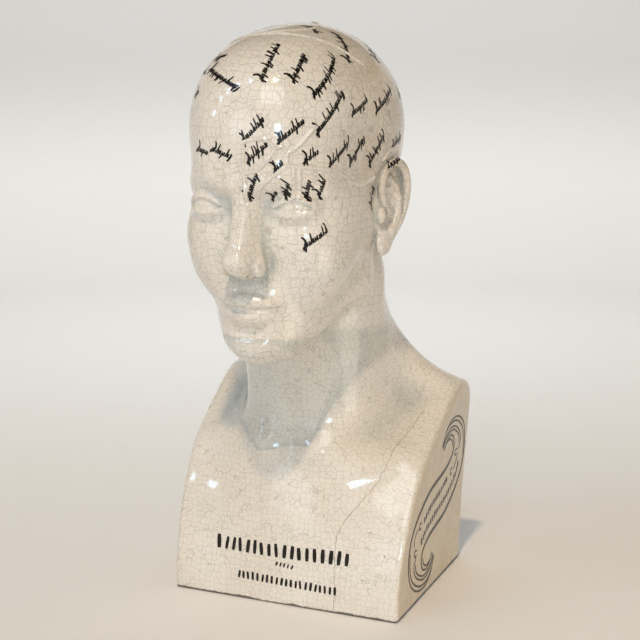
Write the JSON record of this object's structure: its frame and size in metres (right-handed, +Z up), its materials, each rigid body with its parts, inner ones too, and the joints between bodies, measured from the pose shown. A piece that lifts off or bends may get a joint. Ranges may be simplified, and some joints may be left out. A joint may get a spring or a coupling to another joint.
{
  "type": "phrenology head",
  "caption": "Glazed earthenware phrenology bust: bald head with mapped regions on a squared block of chest and shoulders, with a flat foot.",
  "frame": {"origin": "middle of the flat foot, which rests on the surface", "axes": "+Z up, face towards -Y, the bust's left side towards +X"},
  "size_m": [0.1404, 0.1622, 0.3],
  "materials": {
    "glaze": "glossy crackle glaze over cream earthenware, with blue-grey pooling, brown stains and fine dark print"
  },
  "bodies": {
    "root": {"bust": "glaze"}
  },
  "joints": []
}
